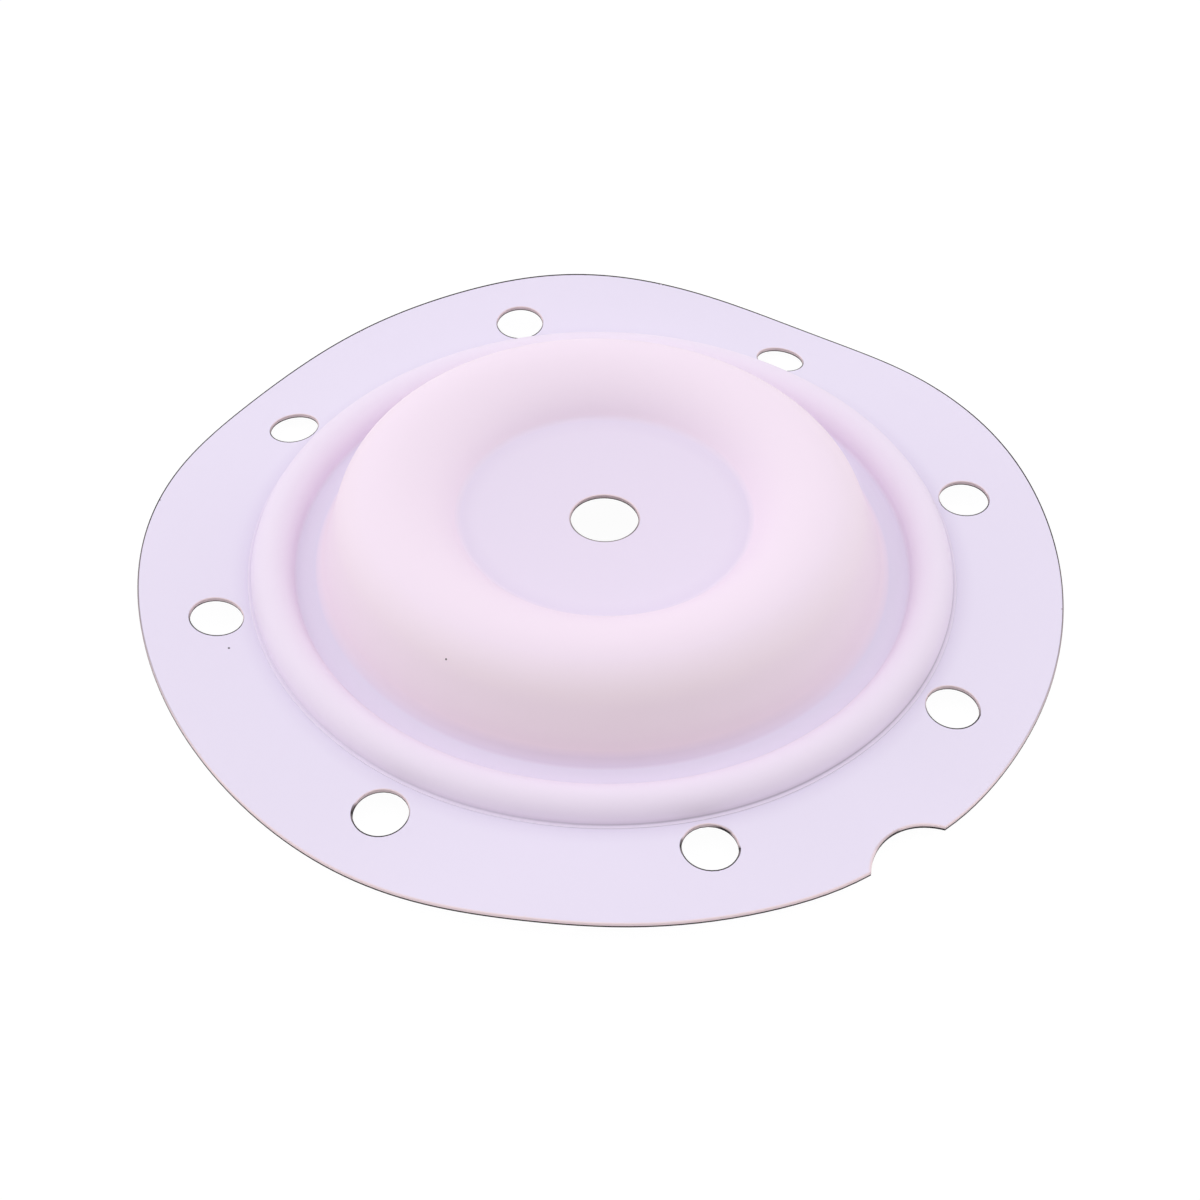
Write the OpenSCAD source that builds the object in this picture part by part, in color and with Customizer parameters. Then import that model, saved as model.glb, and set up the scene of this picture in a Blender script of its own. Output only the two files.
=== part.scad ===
// Pump diaphragm: one formed fluoropolymer sheet with a bolted flange, a bead, a convolution and a raised disc.
// Millimetres. +Z is the axis, z = 0 is the flat underside of the flange, and the rod hole is on the axis.

/* [Sheet] */
// thickness of the sheet the whole diaphragm is formed from
sheet_t = 1.2; // [0.8:0.1:1.6]
// outside diameter of the flange
rim_d = 226; // [218:1:227]

/* [Bolt holes] */
// diameter of the circle the bolt holes stand on
bolt_circle_d = 190; // [187:1:196]
// diameter of each bolt hole
bolt_hole_d = 12.5; // [9:0.5:13]
// number of bolt holes
bolt_count = 8; // [4:1:12]
// direction of the first bolt hole, in degrees from +X
bolt_start = 104.7; // [0:0.1:180]

/* [Rim notch] */
// direction of the notch in the rim, in degrees from +X
notch_dir = 307.3; // [300:0.1:312]
// radius of the round cut that makes the notch
notch_r = 14.3; // [10:0.1:18]
// how far the notch reaches in from the rim
notch_depth = 5.6; // [3:0.1:8]

/* [Centre disc] */
// diameter of the hole for the pump rod
rod_hole_d = 16.5; // [10:0.5:24]
// height of the disc above the flange
disc_rise = 14.6; // [11:0.2:16.6]
// radius of the fillet between the disc and the convolution
disc_fillet_r = 1.5; // [1:0.25:4]

/* [Convolution] */
// diameter of the ring along the top of the convolution
dome_crest_d = 103.4; // [101:0.2:106]
// height of that ring above the flange
dome_rise = 23.5; // [21.5:0.1:24.5]
// radius of the convolution on its inner side, down to the disc
dome_inner_r = 19.5; // [18:0.5:24]
// radius of the convolution on its outer side, down to the wall
dome_outer_r = 13.6; // [12:0.2:15]
// slope of the outer wall at its steepest, in degrees
dome_wall_angle = 72; // [64:1:76]

/* [Valley and bead] */
// radius of the fillet between the outer wall and the valley
valley_r = 6; // [4:0.25:6.5]
// width of the flat floor between that fillet and the bead
valley_floor_w = 1.4; // [0.6:0.1:2]
// radius of the half-round bead
bead_r = 5.2; // [4.6:0.1:5.4]
// height of the bead above the flange
bead_rise = 5.3; // [4.2:0.1:5.6]
// radius of the fillets at both feet of the bead
bead_foot_r = 0.8; // [0.5:0.1:1.2]

/* [Sag of the loose flange] */
// distance from the axis to each line the flange bends along
sag_line_r = 90; // [90:0.5:95]
// inside radius of the bend
sag_bend_r = 20; // [12:1:30]
// direction of the back right sag
sag_1_dir = 60; // [56:1:64]
// slope of the back right sag
sag_1_slope = 19.5; // [4:0.5:24]
// direction of the back left sag
sag_2_dir = 143; // [139:1:147]
// slope of the back left sag
sag_2_slope = 15.5; // [4:0.5:24]
// direction of the front left sag
sag_3_dir = 241; // [238:1:241]
// slope of the front left sag
sag_3_slope = 10.5; // [4:0.5:24]
// direction of the front right sag
sag_4_dir = 317; // [316:1:320]
// slope of the front right sag
sag_4_slope = 14; // [4:0.5:24]

/* [Hidden] */
$fn = 96;
// taller than the whole diaphragm, for tools that cut right through it
through = 120;
// extra length of a blank before it is trimmed
past = 2;
// the round stretches overlap their neighbours by this much, so that every join is a true crossing
blend = 0.01;
// the two arcs of the convolution overlap by this much at the crest
crest_overlap = 0.6;
// a sagging stretch overlaps the flat flange by this much
lap = 0.4;

rim_r = rim_d / 2;
// the upper skin of the flat flange; all rises are measured from it
flange_top = sheet_t;

// centres of the arcs that make the upper skin, as [radius from the axis, height]
crest_r = dome_crest_d / 2;
crest_z = flange_top + dome_rise;
outer_c = [crest_r, crest_z - dome_outer_r];
// the inner arc is centred a little further out, so that the two arcs cross just inside the crest
inner_c = [crest_r + crest_overlap, crest_z - dome_inner_r];
fillet_z = flange_top + disc_rise + disc_fillet_r;
fillet_c = [inner_c[0] - leg(dome_inner_r + disc_fillet_r, fillet_z - inner_c[1]), fillet_z];
// slope where the disc fillet runs into the convolution
inner_slope = atan2(inner_c[0] - fillet_c[0], fillet_c[1] - inner_c[1]);

wall_top = on_arc(outer_c, dome_outer_r, 90 - dome_wall_angle);
valley_z = flange_top + valley_r;
wall_foot_z = valley_z - valley_r * cos(dome_wall_angle);
wall_run = (wall_top[1] - wall_foot_z) / tan(dome_wall_angle);
valley_c = [wall_top[0] + wall_run + valley_r * sin(dome_wall_angle), valley_z];

// the bead stands on the flange's level, with a fillet on each side
bead_z = flange_top + bead_rise - bead_r;
foot_z = flange_top + bead_foot_r;
foot_reach = leg(bead_r + bead_foot_r, foot_z - bead_z);
foot_slope = atan2(foot_reach, foot_z - bead_z);
bead_in = valley_c[0] + valley_floor_w;
bead_c = [bead_in + foot_reach, bead_z];
bead_out = bead_c[0] + foot_reach;

sags = [
    [sag_1_dir, sag_1_slope],
    [sag_2_dir, sag_2_slope],
    [sag_3_dir, sag_3_slope],
    [sag_4_dir, sag_4_slope]
];

function leg(long_side, other_leg) = sqrt(long_side * long_side - other_leg * other_leg);
function on_arc(centre, radius, angle) = centre + radius * [cos(angle), sin(angle)];

// a point of the upper skin is sunk by this depth to give the matching point of the lower skin
skins = [0, sheet_t];

// everything below a skin of the formed sheet, out past the rim
module below_skin(depth) {
    disc_z = flange_top + disc_rise - depth;
    flange_z = flange_top - depth;
    inner_join = on_arc(inner_c, dome_inner_r - depth, 90 + inner_slope);
    wall_start = on_arc(outer_c, dome_outer_r - depth, 90 - dome_wall_angle);
    wall_end = on_arc(valley_c, valley_r + depth, 270 - dome_wall_angle);
    bead_start = on_arc(bead_c, bead_r - depth, 90 + foot_slope);
    bead_end = on_arc(bead_c, bead_r - depth, 90 - foot_slope);
    edge = rim_r + past + depth;
    floor_z = -through / 2 - depth;
    difference() {
        union() {
            polygon([
                [-depth, floor_z], [-depth, disc_z], [fillet_c[0], disc_z], inner_join, outer_c, wall_start, wall_end,
                [valley_c[0], flange_z], [bead_in, flange_z], bead_start, bead_c, bead_end, [bead_out, flange_z],
                [edge, flange_z], [edge, floor_z]
            ]);
            intersection() {
                translate(inner_c) circle(r = dome_inner_r - depth + blend);
                translate([0, floor_z]) square([crest_r, through]);
            }
            translate(outer_c) circle(r = dome_outer_r - depth + blend);
            translate(bead_c) circle(r = bead_r - depth + blend);
        }
        translate(fillet_c) circle(r = disc_fillet_r + depth + blend);
        intersection() {
            translate(valley_c) circle(r = valley_r + depth + blend);
            translate([0, floor_z]) square([bead_in, through]);
        }
        for (foot = [bead_in, bead_out])
            translate([foot, foot_z]) circle(r = bead_foot_r + depth + blend);
    }
}

// half of the section through the axis
module half_section() {
    difference() {
        below_skin(skins[0]);
        below_skin(skins[1]);
    }
}

// everything below a skin of a sagging stretch of flange: a flat lap, a gentle bend, then straight
module below_sag(slope, depth) {
    bend_c = [sag_line_r, -sag_bend_r];
    skin_r = sag_bend_r + sheet_t - depth;
    translate(bend_c) {
        translate([-past, -rim_d]) square([past + blend, rim_d + skin_r]);
        circle(r = skin_r);
        rotate(-slope) translate([0, -rim_d]) square([rim_r + depth, rim_d + skin_r - blend]);
    }
}

// section of that stretch, from just inside its bend line outwards
module sag_section(slope) {
    intersection() {
        difference() {
            below_sag(slope, skins[0]);
            below_sag(slope, skins[1]);
        }
        translate([sag_line_r - lap, -rim_r]) square([rim_r, rim_d]);
    }
}

module formed_sheet() {
    half_width = leg(rim_r + past, sag_line_r);
    difference() {
        rotate_extrude() half_section();
        for (sag = sags)
            rotate(sag[0]) translate([sag_line_r, -rim_r, -through / 2]) cube([rim_d, rim_d, through]);
    }
    for (sag = sags)
        rotate([90, 0, sag[0]]) linear_extrude(height = 2 * half_width, center = true) sag_section(sag[1]);
}

module diaphragm() {
    color("#e9e1f2") difference() {
        intersection() {
            formed_sheet();
            cylinder(r = rim_r, h = through, center = true);
        }
        cylinder(d = rod_hole_d, h = through, center = true);
        for (i = [0 : bolt_count - 1])
            rotate(bolt_start + i * 360 / bolt_count)
                translate([bolt_circle_d / 2, 0, 0]) cylinder(d = bolt_hole_d, h = through, center = true);
        rotate(notch_dir) translate([rim_r - notch_depth + notch_r, 0, 0])
            cylinder(r = notch_r, h = through, center = true);
    }
}

diaphragm();
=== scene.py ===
"""Looks of the pump diaphragm: the formed sheet with its wavy flange, and the photo's view and light."""
import math
from collections import namedtuple

import bmesh
import bpy
import numpy as np
from mathutils import Matrix, Vector


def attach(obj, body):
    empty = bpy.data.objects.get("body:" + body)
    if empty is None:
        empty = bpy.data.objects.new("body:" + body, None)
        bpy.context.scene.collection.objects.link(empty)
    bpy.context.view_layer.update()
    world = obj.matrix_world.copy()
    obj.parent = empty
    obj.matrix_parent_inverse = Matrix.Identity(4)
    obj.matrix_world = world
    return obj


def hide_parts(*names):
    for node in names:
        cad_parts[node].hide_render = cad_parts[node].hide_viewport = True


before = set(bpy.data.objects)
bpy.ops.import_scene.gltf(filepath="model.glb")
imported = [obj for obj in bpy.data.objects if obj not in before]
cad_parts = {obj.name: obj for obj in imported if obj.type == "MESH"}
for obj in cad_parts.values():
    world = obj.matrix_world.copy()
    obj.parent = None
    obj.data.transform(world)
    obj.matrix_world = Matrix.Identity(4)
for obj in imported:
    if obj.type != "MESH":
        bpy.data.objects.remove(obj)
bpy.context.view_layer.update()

MM = 0.001

# Sizes of the formed sheet in millimetres: those of the CAD, but for a softer disc fillet,
# a slightly smaller inner radius of the convolution and a tighter outer foot of the bead
SHEET_T = 1.2
RIM_R = 113.0
BOLT_CIRCLE_R = 95.0
BOLT_HOLE_R = 6.25
BOLT_COUNT = 8
BOLT_START = 104.7
NOTCH_R = 14.3
NOTCH_DEPTH = 5.6
ROD_HOLE_R = 8.25
DISC_RISE = 14.6
DISC_FILLET_R = 2.0
DOME_CREST_R = 51.7
DOME_RISE = 23.5
DOME_INNER_R = 18.7
DOME_OUTER_R = 13.6
DOME_WALL_ANGLE = 72.0
VALLEY_R = 6.0
VALLEY_FLOOR_W = 1.4
BEAD_R = 5.2
BEAD_RISE = 5.3
BEAD_FOOT_R = 0.8
OUTER_FOOT_R = 0.25

# The notch lies on the boundary between these two sectors of the flange
NOTCH_BEFORE = 4
NOTCH_AFTER = 5

# A fine step around the outer foot of the bead, too small for the CAD
STEP_RISE = 0.2
STEP_WIDTH = 0.5

# The disc and the upper convolution lie a little off the bolt circle's centre: shifts in millimetres,
# and the radii where one hands over to the other, and where the second fades away
DISC_SHIFT = (0.3, -0.7)
DOME_SHIFT = (-1.1, 0.0)
DISC_END_R = 36.0
DOME_FROM_R = 48.0
DOME_FADE_R = 60.0
DOME_END_R = 69.0

# The disc is dished: depth at the middle, and radius where the dish ends
DISH_DEPTH = 1.5
DISH_R = 34.0

# Where each bolt hole was punched, off its place on an even circle, in millimetres
HOLE_SHIFTS = [
    (0.1, 0.1),
    (0.3, 0.2),
    (0.1, -1.1),
    (0.0, -0.6),
    (0.4, 0.8),
    (-0.3, 0.0),
    (-0.2, -0.9),
    (-0.2, -0.6),
]

# Rises and sags of the loose flange: direction in degrees, height at the rim in millimetres,
# and half-width in degrees
FLANGE_WAVES = [
    (19.9, 0.92, 9.4),
    (59.2, -5.11, 13.0),
    (96.6, 2.82, 12.2),
    (146.1, -4.00, 13.4),
    (189.5, 3.79, 18.4),
    (240.0, -2.17, 12.3),
    (262.4, 1.15, 8.6),
    (307.5, 2.0, 5.2),
    (310.0, -3.34, 14.9),
    (341.8, -1.06, 11.3),
]
# The waves start at the foot of the bead, softened over a short stretch, and have full height at the rim
WAVE_START_R = 86.0
WAVE_SOFTEN = 2.0
WAVE_RUN = 27.0

# Rounding of the cut edges
EDGE_R = 0.16
# The dark line along them: width on the face, height at the foot of a front wall, height at most,
# and level on the face where the wall is seen edge-on
EdgeLine = namedtuple("EdgeLine", "width least most edge_on")
RIM_LINE = EdgeLine(width=0.4, least=0.52, most=0.9, edge_on=0.9)
HOLE_LINE = EdgeLine(width=0.2, least=0.3, most=0.4, edge_on=0.4)
LINE_SOFTEN = 0.08
# Where a wall is turned to the side, its line keeps this share of its width on the face
LINE_SIDE_SHARE = 0.3
# How fast the line moves from a wall's foot to its upper edge as the wall turns from front to back
LINE_TURN = 1.4
# The photograph's view shortens distances in depth to this share
DEPTH_SHARE = 0.7
# A wall counts as facing the front by at least this much when its line's height is worked out
LEAST_AHEAD = 0.2
# Dark marks on the cut edges: plan position and reach in millimetres
EDGE_MARKS = [
    (87.6, -50.2, 1.6),
    (18.0, -91.2, 2.8),
    (27.4, -86.2, 2.5),
    (30.3, -92.0, 2.0),
    (-54.1, -82.7, 3.0),
    (62.8, -86.2, 4.6),
]
MARK_SOFTEN = 1.0
# Height of the marks, least height above the dark line, and width on the face beside an edge-on wall
MARK_HEIGHT = 0.7
MARK_ABOVE_LINE = 0.12
MARK_WIDTH = 0.18
# Specks of dirt: position and radius in millimetres
SPECKS = [
    (-87.5, -35.3, 2.4, 0.35),
    (-34.7, -53.1, 18.6, 0.3),
    (75.9, -49.1, 0.6, 0.6),
]

# Paint levels, from 0 to 1; the shades are painted shade, laid on the disc, its edge, the valley, the wall's
# foot and the flange beside the bead
DISC_TINT = 0.3
DISC_SHADE = 0.15
DISC_EDGE_SHADE = 0.25
VALLEY_SHADE = 0.1
WALL_FOOT_SHADE = 0.45
BEAD_TINT = 0.5
BEAD_FOOT_TINT = 0.2
BEAD_FOOT_SHADE = 0.2
OUTER_FOOT_TINT = 0.3
STEP_TINT = 0.2
# Painted shade: a dark line along the bead's outer foot and along the fine step's edge
FOOT_LINE = 0.42
FOOT_LINE_FAINT = FOOT_LINE / 4
STEP_LINE = FOOT_LINE / 2
# Width of the shade along the edge of the disc, in millimetres
DISC_SHADE_W = 4.0
# Shares of the wall's slope where the painted warm shade starts and is full, and where the wall's formed
# tint and painted warm shade start to fade in the valley fillet, have faded in part, and are gone
WARM_SHADE_FROM = 0.3
WARM_SHADE_FULL = 0.8
FADE_FROM = 0.75
FADE_PART = 0.5
FADE_TO = 0.4
PART_FORMED = 0.5
PART_WARM_SHADE = 0.3
# Share of the bead's slope where its inner side takes on the tint of its top
BEAD_SHOULDER = 0.4
# Shares of the bead's slope where the painted shade line at its outer foot starts and darkens
FOOT_LINE_FROM = 0.86
FOOT_LINE_DARKENS = 0.95
# The painted shade at the wall's foot and the painted warm shade of the wall are strongest in this
# direction;
# the warm shade keeps this share elsewhere
WALL_FOOT_DIR = 270.0
WARM_SHADE_LEAST = 0.5
# The painted shade line at the bead's outer foot is strongest in this direction, and fades to this share
# on the opposite side
FOOT_LINE_DIR = 335.0
FOOT_LINE_LEAST = 0.1
# The painted shade on the flange around the bead is gone at this radius
FLANGE_SHADE_R = 91.0

# Radius where the revolved middle hands over to the flange around the bolt holes
FLANGE_IN_R = 87.15
# Mesh fineness, as numbers of steps and shares of a span
SECTOR_STEPS = 32
SIDE_STEPS = 16
NOTCH_STEPS = 11
EDGE_STEPS = 3
FLANGE_RINGS = [0.1, 0.2, 0.32, 0.46, 0.6, 0.73, 0.84, 0.93]
HOLE_MARGIN_MOST = 0.5
LOOP_MARGIN_MOST = 0.12
LINE_MARGIN_SHARE = 0.85
LEAST_SQUARENESS = 0.35
# Points closer than this, or equal to this many digits, are one point
SAME_POINT = 1e-6
WELD_DIGITS = 5


def leg(long_side, other_leg):
    """The second short side of a right-angled triangle."""
    return math.sqrt(long_side ** 2 - other_leg ** 2)


def polar(radius, degrees):
    """Plan points at a radius from the axis, in the given directions."""
    angle = np.radians(degrees)
    return np.stack([radius * np.cos(angle), radius * np.sin(angle)], axis=-1)


def at_height(plan, height):
    """Plan points raised to a height, one for all or one for each."""
    return np.concatenate([plan, np.broadcast_to(height, plan.shape[:-1])[..., None]], axis=-1)


# Section masks: formed colour, painted warm shade, painted shade in the creases, painted shade at the wall's
# foot towards the front, and a painted shade line at the bead's outer foot
PAINTS = ("formed", "warm", "crease", "front", "dark")


def painted(points, normals, **paint):
    """Section points with their normals and paint masks, each running from its first to its second level."""
    masks = [np.linspace(*paint.get(name, (0, 0)), len(points)) for name in PAINTS]
    return np.column_stack([points, normals, *masks])


def arc(centre, radius, start, end, steps, hollow=False, **paint):
    """A round stretch of the section; a hollow one bends upwards."""
    way = polar(1.0, np.linspace(start, end, steps + 1))
    normals = -way if hollow else way
    return painted(np.asarray(centre) + radius * way, normals, **paint)


def flat(start_r, end_r, height, steps, **paint):
    """A level stretch of the section."""
    radius = np.linspace(start_r, end_r, steps + 1)
    points = np.column_stack([radius, np.full_like(radius, height)])
    normals = np.tile([0.0, 1.0], (steps + 1, 1))
    return painted(points, normals, **paint)


def disc_and_dome():
    """The section from the rod hole to the top of the convolution's wall, and the radius of the valley."""
    crest_z = SHEET_T + DOME_RISE
    outer_c = (DOME_CREST_R, crest_z - DOME_OUTER_R)
    inner_c = (DOME_CREST_R, crest_z - DOME_INNER_R)
    disc_z = SHEET_T + DISC_RISE
    fillet_z = disc_z + DISC_FILLET_R
    fillet_c = (inner_c[0] - leg(DOME_INNER_R + DISC_FILLET_R, fillet_z - inner_c[1]), fillet_z)
    slope = math.degrees(math.atan2(inner_c[0] - fillet_c[0], fillet_c[1] - inner_c[1]))
    wall_angle = math.radians(DOME_WALL_ANGLE)
    wall_top_r = outer_c[0] + DOME_OUTER_R * math.sin(wall_angle)
    wall_top_z = outer_c[1] + DOME_OUTER_R * math.cos(wall_angle)
    wall_foot_z = SHEET_T + VALLEY_R * (1 - math.cos(wall_angle))
    wall_run = (wall_top_z - wall_foot_z) / math.tan(wall_angle)
    valley_r = wall_top_r + wall_run + VALLEY_R * math.sin(wall_angle)
    near_hole = ROD_HOLE_R + 3 * EDGE_R
    near_edge = fillet_c[0] - DISC_SHADE_W
    warm_from = 90 - DOME_WALL_ANGLE * WARM_SHADE_FROM
    warm_full = 90 - DOME_WALL_ANGLE * WARM_SHADE_FULL
    wall_top = 90 - DOME_WALL_ANGLE
    disc_paint = {"formed": (DISC_TINT, DISC_TINT), "crease": (DISC_SHADE, DISC_SHADE)}
    edge_paint = {"formed": (DISC_TINT, DISC_TINT), "crease": (DISC_SHADE, DISC_EDGE_SHADE)}
    fillet_paint = {"formed": (DISC_TINT, 1), "crease": (DISC_EDGE_SHADE, 0)}
    stretches = [
        flat(ROD_HOLE_R + EDGE_R, near_hole, disc_z, 1, **disc_paint),
        flat(near_hole, near_edge, disc_z, 7, **disc_paint),
        flat(near_edge, fillet_c[0], disc_z, 6, **edge_paint),
        arc(fillet_c, DISC_FILLET_R, 270, 270 + slope, 6, True, **fillet_paint),
        arc(inner_c, DOME_INNER_R, 90 + slope, 90, 18, formed=(1, 1)),
        arc(outer_c, DOME_OUTER_R, 90, warm_from, 4, formed=(1, 1)),
        arc(outer_c, DOME_OUTER_R, warm_from, warm_full, 12, formed=(1, 1), warm=(0, 1)),
        arc(outer_c, DOME_OUTER_R, warm_full, wall_top, 4, formed=(1, 1), warm=(1, 1)),
    ]
    return stretches, valley_r


def valley_and_bead(valley_r):
    """The section from the wall's foot to the top of the bead, and the centre of the bead."""
    valley_c = (valley_r, SHEET_T + VALLEY_R)
    bead_z = SHEET_T + BEAD_RISE - BEAD_R
    foot_z = SHEET_T + BEAD_FOOT_R
    reach = leg(BEAD_R + BEAD_FOOT_R, foot_z - bead_z)
    slope = math.degrees(math.atan2(reach, foot_z - bead_z))
    bead_in = valley_r + VALLEY_FLOOR_W
    foot_c = (bead_in, foot_z)
    bead_c = (bead_in + reach, bead_z)
    wall_foot = 270 - DOME_WALL_ANGLE
    fade_from = 270 - DOME_WALL_ANGLE * FADE_FROM
    fade_part = 270 - DOME_WALL_ANGLE * FADE_PART
    fade_to = 270 - DOME_WALL_ANGLE * FADE_TO
    shoulder = 90 + slope * BEAD_SHOULDER
    shade = (VALLEY_SHADE, VALLEY_SHADE)
    half_shade = VALLEY_SHADE / 2
    dimmed = (WALL_FOOT_SHADE, WALL_FOOT_SHADE)
    stretches = [
        arc(valley_c, VALLEY_R, wall_foot, fade_from, 4, True,
            formed=(1, 1), warm=(1, 1), front=(0, WALL_FOOT_SHADE)),
        arc(valley_c, VALLEY_R, fade_from, fade_part, 4, True,
            formed=(1, PART_FORMED), warm=(1, PART_WARM_SHADE), crease=(0, half_shade), front=dimmed),
        arc(valley_c, VALLEY_R, fade_part, fade_to, 5, True,
            formed=(PART_FORMED, 0), warm=(PART_WARM_SHADE, 0), crease=(half_shade, VALLEY_SHADE),
            front=(WALL_FOOT_SHADE, 0)),
        arc(valley_c, VALLEY_R, fade_to, 270, 3, True, crease=shade),
        flat(valley_r, bead_in, SHEET_T, 2, crease=shade),
        arc(foot_c, BEAD_FOOT_R, 270, 270 + slope, 5, True,
            formed=(0, BEAD_FOOT_TINT), warm=(0, 1), crease=shade),
        arc(bead_c, BEAD_R, 90 + slope, shoulder, 9,
            formed=(BEAD_FOOT_TINT, BEAD_TINT), warm=(1, 0), crease=(VALLEY_SHADE, 0)),
        arc(bead_c, BEAD_R, shoulder, 90, 5, formed=(BEAD_TINT, BEAD_TINT)),
    ]
    return stretches, bead_c


def outer_foot(bead_c, step_rise):
    """The outer half of the bead and its foot, with a fine step if it has a rise."""
    fillet_r = OUTER_FOOT_R if step_rise > 0 else BEAD_FOOT_R
    foot_z = SHEET_T + step_rise + fillet_r
    reach = leg(BEAD_R + fillet_r, foot_z - bead_c[1])
    slope = math.degrees(math.atan2(reach, foot_z - bead_c[1]))
    foot_r = bead_c[0] + reach
    line_from = 90 - slope * FOOT_LINE_FROM
    line_darkens = 90 - slope * FOOT_LINE_DARKENS
    shade = (BEAD_FOOT_SHADE, BEAD_FOOT_SHADE)
    tint = (BEAD_TINT, BEAD_TINT)
    foot_tint = (OUTER_FOOT_TINT, OUTER_FOOT_TINT)
    stretches = [
        arc(bead_c, BEAD_R, 90, line_from, 10, formed=tint),
        arc(bead_c, BEAD_R, line_from, line_darkens, 2, formed=tint, dark=(0, FOOT_LINE_FAINT)),
        arc(bead_c, BEAD_R, line_darkens, 90 - slope, 2,
            formed=(BEAD_TINT, OUTER_FOOT_TINT), dark=(FOOT_LINE_FAINT, FOOT_LINE)),
        arc((foot_r, foot_z), fillet_r, 270 - slope, 270, 5, True,
            formed=foot_tint, crease=(0, BEAD_FOOT_SHADE), dark=(FOOT_LINE, 0)),
    ]
    if step_rise > 0:
        edge_r = step_rise / 2
        edge_c = (foot_r + STEP_WIDTH, SHEET_T + edge_r)
        under_c = (edge_c[0] + 2 * edge_r, SHEET_T + edge_r)
        stretches += [
            flat(foot_r, edge_c[0], SHEET_T + step_rise, 2, formed=foot_tint, crease=(BEAD_FOOT_SHADE, 0)),
            arc(edge_c, edge_r, 90, 0, 3, formed=(OUTER_FOOT_TINT, STEP_TINT), dark=(0, STEP_LINE)),
            arc(under_c, edge_r, 180, 270, 3, True,
                formed=(STEP_TINT, 0), crease=shade, dark=(STEP_LINE, 0)),
        ]
        foot_r = under_c[0]
    stretches.append(flat(foot_r, FLANGE_IN_R, SHEET_T, 2, crease=shade))
    return stretches


def section(step_rise):
    """The skin from the rod hole to the flange, as rows of r, z, normal r, normal z and the paints."""
    stretches, valley_r = disc_and_dome()
    valley, bead_c = valley_and_bead(valley_r)
    rows = np.concatenate(stretches + valley + outer_foot(bead_c, step_rise))
    apart = np.hypot(*np.diff(rows[:, :2], axis=0).T) > SAME_POINT
    return rows[np.append(True, apart)]


def smooth(level):
    """An even rise from 0 to 1 with soft ends."""
    return level * level * (3 - 2 * level)


def flange_lift(x, y):
    """How far the loose flange stands above or below its flat state."""
    degrees = np.degrees(np.arctan2(y, x))
    wave = np.zeros_like(degrees)
    for direction, height, half_width in FLANGE_WAVES:
        away = (degrees - direction + 180) % 360 - 180
        wave += height * np.exp(-0.5 * (away / half_width) ** 2)
    past_start = np.hypot(x, y) - WAVE_START_R
    run = 0.5 * (past_start + np.sqrt(past_start ** 2 + WAVE_SOFTEN ** 2)) / WAVE_RUN
    # full height at a run of 1, with a steeper rise near the bead
    return wave * 3 * run / (2 + run)


def middle_shift(radius):
    """How far the middle of the sheet lies off the bolt circle's centre at each radius, in x and y."""
    dome = smooth(np.clip((radius - DISC_END_R) / (DOME_FROM_R - DISC_END_R), 0, 1))[:, None]
    fall = smooth(np.clip((DOME_END_R - radius) / (DOME_END_R - DOME_FADE_R), 0, 1))[:, None]
    return np.array(DISC_SHIFT) * (1 - dome) + np.array(DOME_SHIFT) * dome * fall


def disc_drop(radius):
    """How far the dished disc lies below its flat state."""
    return DISH_DEPTH * np.clip(1 - (radius / DISH_R) ** 2, 0, 1)


def line_height(facing, line):
    """Height of the dark line at the foot of a cut edge, so that it looks equally thick all round."""
    ahead = np.maximum(np.abs(facing[:, 1]), LEAST_AHEAD)
    aside = DEPTH_SHARE * facing[:, 0] / ahead
    return np.minimum(line.least * np.sqrt(1 + aside ** 2), line.most)


def edge_rows(line_top):
    """Rows of a cut edge, upper skin first: inset, height, and shares of both lines and of the marks."""
    turn = np.radians(np.linspace(0, 90, EDGE_STEPS + 1))
    inset = EDGE_R * (1 - np.sin(turn))
    drop = EDGE_R * (1 - np.cos(turn))
    mark_top = np.maximum(MARK_HEIGHT, line_top + MARK_ABOVE_LINE)
    rows = [(i, SHEET_T - d, 1, 0, 0) for i, d in zip(inset, drop)]
    rows += [
        (0.0, mark_top, 0, 0, 1),
        (0.0, line_top + LINE_SOFTEN, 0, 0, 1),
        (0.0, line_top, 0, 1, 1),
    ]
    rows += [(i, d, 0, 1, 1) for i, d in zip(inset[::-1], drop[::-1])]
    return rows


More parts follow.
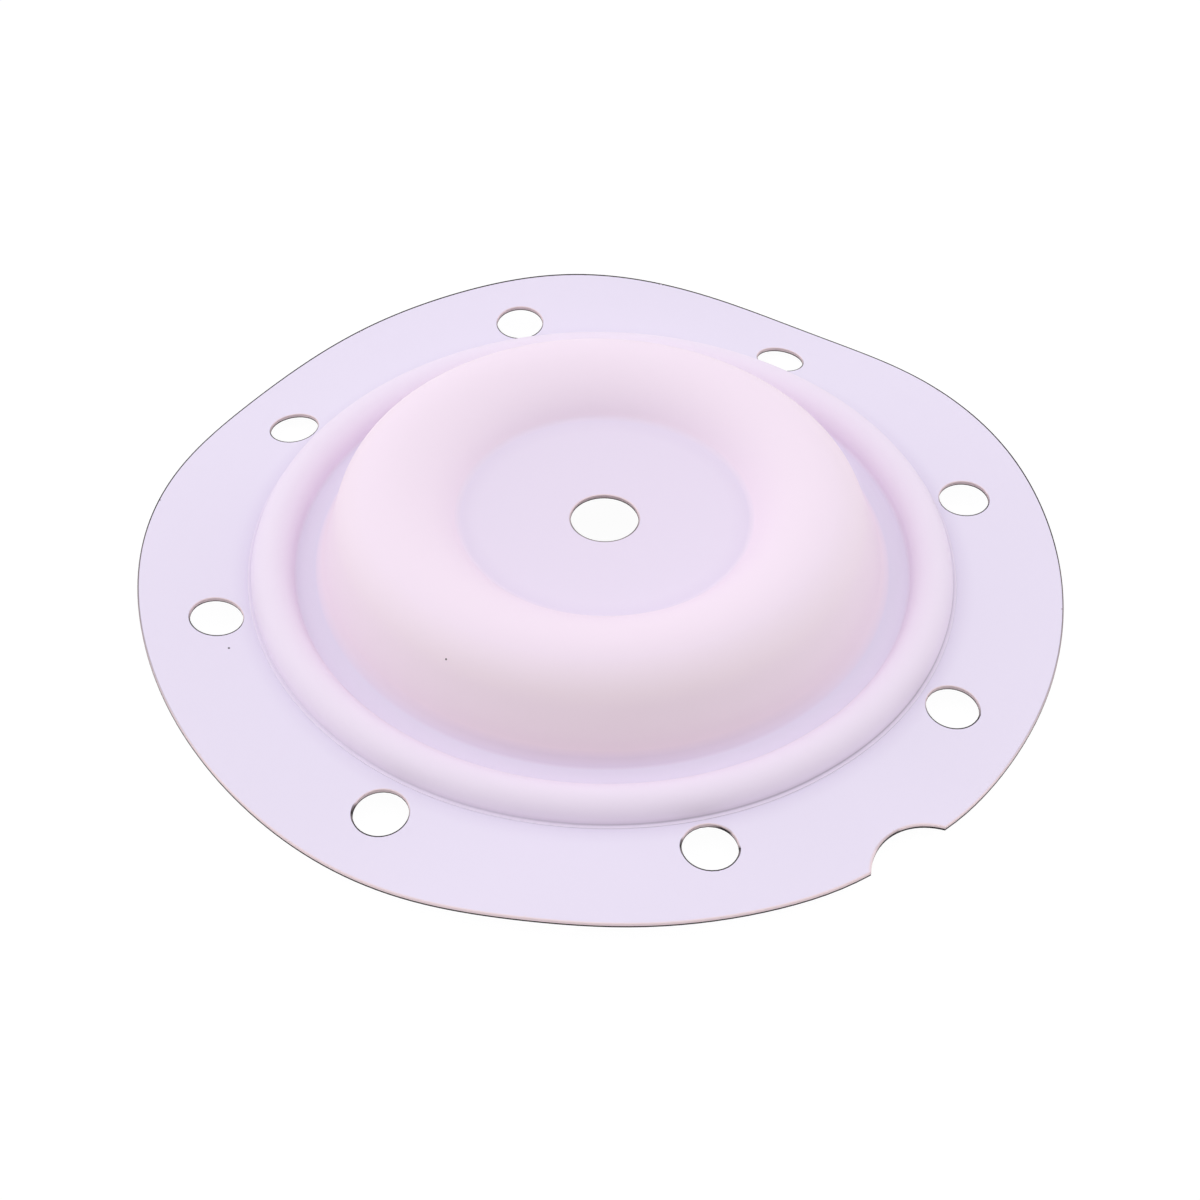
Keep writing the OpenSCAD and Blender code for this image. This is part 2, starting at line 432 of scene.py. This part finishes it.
class Shell:
    """Collects grids of points and the quads between them, and welds the points that meet."""

    MASKS = ("formed", "warm", "crease", "wall", "dark")

    def __init__(self):
        self.points = []
        self.masks = {name: [] for name in self.MASKS}
        self.quads = []
        self.count = 0

    def grid(self, points, closed=False, **masks):
        """Adds rows of points with their masks; a closed grid joins each row's end to its start."""
        rows, columns = points.shape[:2]
        self.points.append(points.reshape(-1, 3))
        for name in self.MASKS:
            self.masks[name].append(np.broadcast_to(masks.get(name, 0.0), (rows, columns)).ravel())
        index = self.count + np.arange(rows * columns).reshape(rows, columns)
        if closed:
            index = np.hstack([index, index[:, :1]])
        corners = [index[:-1, :-1], index[:-1, 1:], index[1:, 1:], index[1:, :-1]]
        self.quads.append(np.stack(corners, axis=-1).reshape(-1, 4))
        self.count += rows * columns

    def mesh(self, name):
        """The welded mesh, with the loose sheet's deformations."""
        points = np.concatenate(self.points)
        rounded = np.round(points, WELD_DIGITS)
        _, first, weld = np.unique(rounded, axis=0, return_index=True, return_inverse=True)
        weld = weld.ravel()
        kept = points[first]
        radius = np.hypot(kept[:, 0], kept[:, 1])
        kept[:, 2] += flange_lift(kept[:, 0], kept[:, 1]) - disc_drop(radius)
        kept[:, :2] += middle_shift(radius)
        quads = weld[np.concatenate(self.quads)]
        mesh = bpy.data.meshes.new(name)
        mesh.from_pydata((kept * MM).tolist(), [], quads.tolist())
        for label, values in self.masks.items():
            strongest = np.zeros(len(kept), dtype=np.float32)
            np.maximum.at(strongest, weld, np.concatenate(values).astype(np.float32))
            layer = mesh.attributes.new(label, "FLOAT", "POINT")
            layer.data.foreach_set("value", strongest)
        work = bmesh.new()
        work.from_mesh(mesh)
        bmesh.ops.recalc_face_normals(work, faces=work.faces)
        work.to_mesh(mesh)
        work.free()
        mesh.shade_smooth()
        return mesh


def rim_side(sector, inset):
    """Points along the rim of one bolt hole's sector, the notch included."""
    half = 180 / BOLT_COUNT
    start = BOLT_START + sector * 2 * half - half
    end = start + 2 * half
    radius = RIM_R - inset
    at_start = sector == NOTCH_AFTER
    at_end = sector == NOTCH_BEFORE
    if not (at_start or at_end):
        return polar(radius, np.linspace(start, end, SECTOR_STEPS + 1))
    centre_r = RIM_R - NOTCH_DEPTH + NOTCH_R
    cut_r = NOTCH_R + inset
    corner_cos = (radius ** 2 + centre_r ** 2 - cut_r ** 2) / (2 * radius * centre_r)
    corner = math.degrees(math.acos(corner_cos))
    corner_side = radius * math.sin(math.radians(corner))
    spread = math.degrees(math.asin(corner_side / cut_r))
    side = 1 if at_start else -1
    middle = start if at_start else end
    turn = np.linspace(0, spread, NOTCH_STEPS + 1)
    notch = polar(centre_r, middle) + polar(cut_r, middle + 180 - side * turn)
    rest = np.linspace(corner, 2 * half, SECTOR_STEPS - NOTCH_STEPS + 1)[1:]
    line = np.concatenate([notch, polar(radius, middle + side * rest)])
    return line if at_start else line[::-1]


def sector_loop(sector):
    """The closed plan line around one bolt hole's sector, and which of its points lie on the rim."""
    half = 180 / BOLT_COUNT
    middle = BOLT_START + sector * 2 * half
    inner = polar(FLANGE_IN_R, np.linspace(middle + half, middle - half, SECTOR_STEPS + 1))
    rim = rim_side(sector, EDGE_R)
    last_step = (RIM_LINE.width + LINE_SOFTEN) / (RIM_R - FLANGE_IN_R)
    along = np.append(np.linspace(0, 1 - last_step, SIDE_STEPS), 1)[:, None]
    first_side = inner[-1] + (rim[0] - inner[-1]) * along
    second_side = (inner[0] + (rim[-1] - inner[0]) * along)[::-1]
    loop = np.concatenate([inner[:-1], first_side[:-1], rim, second_side[1:-1]])
    on_rim = np.zeros(len(loop), dtype=bool)
    on_rim[SECTOR_STEPS + SIDE_STEPS:][:len(rim)] = True
    return loop, on_rim


def turned_away(facing, edge_on):
    """How far a wall is turned from the front, where the dark line lies on its upper edge."""
    return np.clip(facing[:, 1] * LINE_TURN + edge_on, 0, 1)


def sideways(facing):
    """How far a wall is turned to the side, where only its upper edge is seen."""
    return 1 - np.abs(facing[:, 1])


def marked(points):
    """How strongly the dark marks on the cut edges show at each point."""
    level = np.zeros(points.shape[:-1])
    for x, y, reach in EDGE_MARKS:
        away = np.hypot(points[..., 0] - x, points[..., 1] - y)
        level = np.maximum(level, np.clip((reach - away) / MARK_SOFTEN, 0, 1))
    return level


def add_wall(shell, plan_at, facing, line, base=0.0, closed=False):
    """A cut edge along a plan line given for each inset, with its dark lines and marks."""
    points = []
    dark = []
    for inset, height, above, below, mark in edge_rows(line_height(facing, line)):
        row = at_height(plan_at(inset), base + height)
        line_share = np.maximum(above * turned_away(facing, line.edge_on), below)
        points.append(row)
        mark_share = np.maximum(mark, above * sideways(facing))
        dark.append(np.maximum(line_share, mark_share * marked(row)))
    shell.grid(np.array(points), closed=closed, wall=1.0, dark=np.array(dark))


def margins(span, facing, width, most, extra=0.0):
    """Shares of each span at which the dark line along a cut edge starts, ends and has faded."""
    seen = width * (1 - (1 - LINE_SIDE_SHARE) * sideways(facing)) + extra
    ends = np.stack([np.zeros_like(seen), seen, seen + LINE_SOFTEN])
    limits = most * np.array([0.0, LINE_MARGIN_SHARE, 1.0])[:, None]
    return np.minimum(ends / span, limits)


def add_flange(shell):
    """Flat of the flange around each bolt hole, and the walls of the holes and of the rim."""
    for sector in range(BOLT_COUNT):
        direction = BOLT_START + sector * 360 / BOLT_COUNT
        centre = polar(BOLT_CIRCLE_R, direction) + np.array(HOLE_SHIFTS[sector])
        loop, on_rim = sector_loop(sector)
        away = loop - centre
        way = away / np.linalg.norm(away, axis=1, keepdims=True)
        hole_line = centre + (BOLT_HOLE_R + EDGE_R) * way
        outward = loop / np.linalg.norm(loop, axis=1, keepdims=True)
        span = np.linalg.norm(loop - hole_line, axis=1)
        squareness = np.clip(np.abs((way * outward).sum(axis=1)), LEAST_SQUARENESS, 1)
        side_mark = marked(hole_line) * sideways(way)
        near_hole = margins(span, way, HOLE_LINE.width, HOLE_MARGIN_MOST, MARK_WIDTH * side_mark)
        near_loop = 1 - margins(span * squareness, outward, RIM_LINE.width, LOOP_MARGIN_MOST)[::-1]
        between = near_hole[-1] + (near_loop[0] - near_hole[-1]) * np.array(FLANGE_RINGS)[:, None]
        shares = np.concatenate([near_hole, between, near_loop])
        plan = hole_line + (loop - hole_line) * shares[..., None]
        # the first two rows lie along the hole and the last two along the rim
        dark = np.zeros(plan.shape[:2])
        dark[:2] = np.maximum(turned_away(-way, HOLE_LINE.edge_on), side_mark)
        dark[-2:] = turned_away(outward, RIM_LINE.edge_on) * on_rim
        # Painted shade on the flange beside the bead's foot, fading out outwards
        from_bead = (np.linalg.norm(plan, axis=-1) - FLANGE_IN_R) / (FLANGE_SHADE_R - FLANGE_IN_R)
        crease = BEAD_FOOT_SHADE * np.clip(1 - from_bead, 0, 1)
        shell.grid(at_height(plan, SHEET_T), closed=True, crease=crease, dark=dark)
        shell.grid(at_height(plan, 0.0), closed=True)
        add_wall(shell, lambda inset: centre + (BOLT_HOLE_R + inset) * way, -way, HOLE_LINE, closed=True)
        add_wall(shell, lambda inset: rim_side(sector, inset), rim_side(sector, 0.0) / RIM_R, RIM_LINE)


def add_middle(shell):
    """Disc, convolution, valley and bead, both skins, and the wall of the rod hole."""
    count = SECTOR_STEPS * BOLT_COUNT
    turns = BOLT_START - 180 / BOLT_COUNT + np.arange(count) * 360 / count
    ring = polar(1.0, turns)
    # Painted shade line at the bead's outer foot, strongest in one direction
    foot_share = 0.5 + 0.5 * np.cos(np.radians(turns - FOOT_LINE_DIR))
    foot_level = FOOT_LINE_LEAST + (1 - FOOT_LINE_LEAST) * foot_share ** 2
    front_level = np.clip(np.cos(np.radians(turns - WALL_FOOT_DIR)), 0, 1) ** 2
    for depth, step_rise in ((0.0, STEP_RISE), (SHEET_T, 0.0)):
        rows = section(step_rise)
        radius = rows[:, 0] - depth * rows[:, 2]
        height = rows[:, 1] - depth * rows[:, 3]
        plan = radius[:, None, None] * ring[None]
        level = np.broadcast_to(height[:, None, None], plan.shape[:2] + (1,))
        paint = dict(zip(PAINTS, rows[:, 4:].T[..., None]))
        # Painted shade in the creases, with the painted shade at the wall's foot strongest towards the front
        crease = paint["crease"] + paint["front"] * front_level
        dark = paint["dark"] * foot_level
        # Painted warm shade, strongest towards the front
        warm = paint["warm"] * (WARM_SHADE_LEAST + (1 - WARM_SHADE_LEAST) * front_level)
        points = np.concatenate([plan, level], axis=-1)
        shell.grid(points, closed=True, formed=paint["formed"], warm=warm, crease=crease, dark=dark)
    add_wall(shell, lambda inset: polar(ROD_HOLE_R + inset, turns), -ring, HOLE_LINE, DISC_RISE, closed=True)


def srgb(red, green, blue):
    """A colour given in display levels from 0 to 255, as linear values."""
    level = np.array([red, green, blue]) / 255
    linear = np.where(level <= 0.04045, level / 12.92, ((level + 0.055) / 1.055) ** 2.4)
    return (*linear.tolist(), 1.0)


FLAT_TINT = srgb(235, 226, 246)
FORMED_TINT = srgb(247, 230, 246)
# Painted warm shade on the convolution's outer wall, in the valley fillet and on the bead's inner side,
# strongest towards the front
WARM_SHADE_TINT = srgb(247, 229, 239)
# Painted shade: the darker lavender laid on the disc, its edge, the valley, the wall's foot and around the
# bead's foot
CREASE_SHADE_TINT = srgb(206, 192, 222)
WALL_TINT = srgb(238, 217, 222)
DARK_TINT = srgb(40, 33, 35)
# Satin surface of the sheet
SHEET_ROUGHNESS = 0.5
SHEET_SPECULAR = 0.25
SHEET_IOR = 1.38


def sheet_material():
    """Satin fluoropolymer: lavender white on the flats, warmer where formed, painted shade in the creases, a
    warm painted shade on the convolution's wall, dark along the cut edges.
    """
    material = bpy.data.materials.new("fluoropolymer")
    material.use_nodes = True
    nodes = material.node_tree.nodes
    links = material.node_tree.links
    shader = nodes["Principled BSDF"]
    shader.inputs["Roughness"].default_value = SHEET_ROUGHNESS
    shader.inputs["Specular IOR Level"].default_value = SHEET_SPECULAR
    shader.inputs["IOR"].default_value = SHEET_IOR

    def blend(factor, below, tint):
        mix = nodes.new("ShaderNodeMix")
        mix.data_type = "RGBA"
        links.new(factor, mix.inputs["Factor"])
        links.new(below, mix.inputs["A"])
        mix.inputs["B"].default_value = tint
        return mix.outputs["Result"]

    plain = nodes.new("ShaderNodeRGB")
    plain.outputs[0].default_value = FLAT_TINT
    colour = plain.outputs[0]
    tints = {
        "formed": FORMED_TINT,
        "warm": WARM_SHADE_TINT,
        "crease": CREASE_SHADE_TINT,
        "wall": WALL_TINT,
        "dark": DARK_TINT,
    }
    for mask, tint in tints.items():
        read = nodes.new("ShaderNodeAttribute")
        read.attribute_name = mask
        colour = blend(read.outputs["Fac"], colour, tint)
    place = nodes.new("ShaderNodeTexCoord")
    for x, y, z, radius in SPECKS:
        away = nodes.new("ShaderNodeVectorMath")
        away.operation = "DISTANCE"
        away.inputs[1].default_value = (x * MM, y * MM, z * MM)
        links.new(place.outputs["Object"], away.inputs[0])
        near = nodes.new("ShaderNodeMapRange")
        near.inputs["From Min"].default_value = radius * MM
        near.inputs["From Max"].default_value = radius * MM / 2
        links.new(away.outputs["Value"], near.inputs["Value"])
        colour = blend(near.outputs[0], colour, DARK_TINT)
    links.new(colour, shader.inputs["Base Color"])
    return material


# Light: a white room, and wide soft lamps given by direction, level and spread in degrees
ROOM_LEVEL = 0.26
LAMPS = [
    ("top", (0, 0, 1), 0.76, 90),
    ("back", (0, 1, 0.6), 0.61, 90),
    ("left", (-1, 0, 0.5), 1.45, 90),
    ("right", (1, 0, 0.5), 1.13, 90),
]
# For the camera the floor glows and has a dark tint, together white; the sheet is lit by a pale floor
FLOOR_GLOW = 0.97
FLOOR_TINT = 0.92
FLOOR_SEEN_TINT = 0.06
FLOOR_HALF = 3.0


def add_floor(height):
    """A plain pale floor."""
    corners = [(-FLOOR_HALF, -FLOOR_HALF, 0), (FLOOR_HALF, -FLOOR_HALF, 0),
               (FLOOR_HALF, FLOOR_HALF, 0), (-FLOOR_HALF, FLOOR_HALF, 0)]
    mesh = bpy.data.meshes.new("floor")
    mesh.from_pydata(corners, [], [(0, 1, 2, 3)])
    floor = bpy.data.objects.new("floor", mesh)
    bpy.context.collection.objects.link(floor)
    floor.location.z = height
    material = bpy.data.materials.new("floor")
    material.use_nodes = True
    nodes = material.node_tree.nodes
    links = material.node_tree.links
    shader = nodes["Principled BSDF"]
    shader.inputs["Roughness"].default_value = 1.0
    shader.inputs["Specular IOR Level"].default_value = 0.0
    shader.inputs["Emission Color"].default_value = (1, 1, 1, 1)
    seen = nodes.new("ShaderNodeLightPath")
    glow = nodes.new("ShaderNodeMath")
    glow.operation = "MULTIPLY"
    glow.inputs[1].default_value = FLOOR_GLOW
    links.new(seen.outputs["Is Camera Ray"], glow.inputs[0])
    links.new(glow.outputs[0], shader.inputs["Emission Strength"])
    tint = nodes.new("ShaderNodeMix")
    tint.data_type = "RGBA"
    tint.inputs["A"].default_value = (FLOOR_TINT, FLOOR_TINT, FLOOR_TINT, 1)
    tint.inputs["B"].default_value = (FLOOR_SEEN_TINT, FLOOR_SEEN_TINT, FLOOR_SEEN_TINT, 1)
    links.new(seen.outputs["Is Camera Ray"], tint.inputs["Factor"])
    links.new(tint.outputs["Result"], shader.inputs["Base Color"])
    mesh.materials.append(material)


def add_light():
    """A white room with soft lamps."""
    world = bpy.data.worlds.new("room")
    bpy.context.scene.world = world
    world.use_nodes = True
    nodes = world.node_tree.nodes
    links = world.node_tree.links
    room = nodes["Background"]
    room.inputs["Strength"].default_value = ROOM_LEVEL
    room.inputs["Color"].default_value = (1, 1, 1, 1)
    backdrop = nodes.new("ShaderNodeBackground")
    backdrop.inputs["Color"].default_value = (1, 1, 1, 1)
    seen = nodes.new("ShaderNodeLightPath")
    mix = nodes.new("ShaderNodeMixShader")
    links.new(seen.outputs["Is Camera Ray"], mix.inputs[0])
    links.new(room.outputs[0], mix.inputs[1])
    links.new(backdrop.outputs[0], mix.inputs[2])
    links.new(mix.outputs[0], nodes["World Output"].inputs["Surface"])
    for name, direction, level, spread in LAMPS:
        lamp = bpy.data.lights.new(name, "SUN")
        lamp.energy = level
        lamp.angle = math.radians(spread)
        lamp_object = bpy.data.objects.new(name, lamp)
        bpy.context.collection.objects.link(lamp_object)
        lamp_object.rotation_euler = Vector(direction).to_track_quat("Z", "Y").to_euler()


# The photograph's camera: focal length in pixels, distance and aim in bolt circle radii, angles in degrees
IMAGE_SIDE = 1200
FOCAL_PIXELS = 2179.93
CAMERA_DISTANCE = 5.5515
CAMERA_ELEVATION = 44.6992
CAMERA_ROLL = 1.0407
AIM = (-0.0048, -0.1658)
SENSOR = 36.0
CLIP_START = 0.01


def add_camera():
    """The camera of the photograph."""
    camera = bpy.data.cameras.new("photo_view")
    camera.sensor_width = SENSOR
    camera.lens = FOCAL_PIXELS / IMAGE_SIDE * SENSOR
    camera.clip_start = CLIP_START
    camera_object = bpy.data.objects.new("photo_view", camera)
    bpy.context.collection.objects.link(camera_object)
    elevation = math.radians(CAMERA_ELEVATION)
    roll = math.radians(CAMERA_ROLL)
    ahead = np.array([0, math.cos(elevation), -math.sin(elevation)])
    right = np.array([1.0, 0, 0])
    up = np.cross(right, ahead)
    unit = BOLT_CIRCLE_R * MM
    turn = np.eye(4)
    turn[:3, 0] = math.cos(roll) * right + math.sin(roll) * up
    turn[:3, 1] = -math.sin(roll) * right + math.cos(roll) * up
    turn[:3, 2] = -ahead
    turn[:3, 3] = unit * (np.array([*AIM, 0]) - CAMERA_DISTANCE * ahead) + np.array([0, 0, SHEET_T * MM])
    camera_object.matrix_world = Matrix(turn.tolist())
    bpy.context.scene.camera = camera_object
    bpy.context.scene.view_settings.view_transform = "Standard"


shell = Shell()
add_middle(shell)
add_flange(shell)
sheet_mesh = shell.mesh("formed_sheet")
sheet_mesh.materials.append(sheet_material())
sheet = bpy.data.objects.new("formed_sheet", sheet_mesh)
bpy.context.collection.objects.link(sheet)
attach(sheet, "root")
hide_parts("diaphragm")

lowest = min(vertex.co.z for vertex in sheet_mesh.vertices)
add_floor(lowest)
add_light()
add_camera()
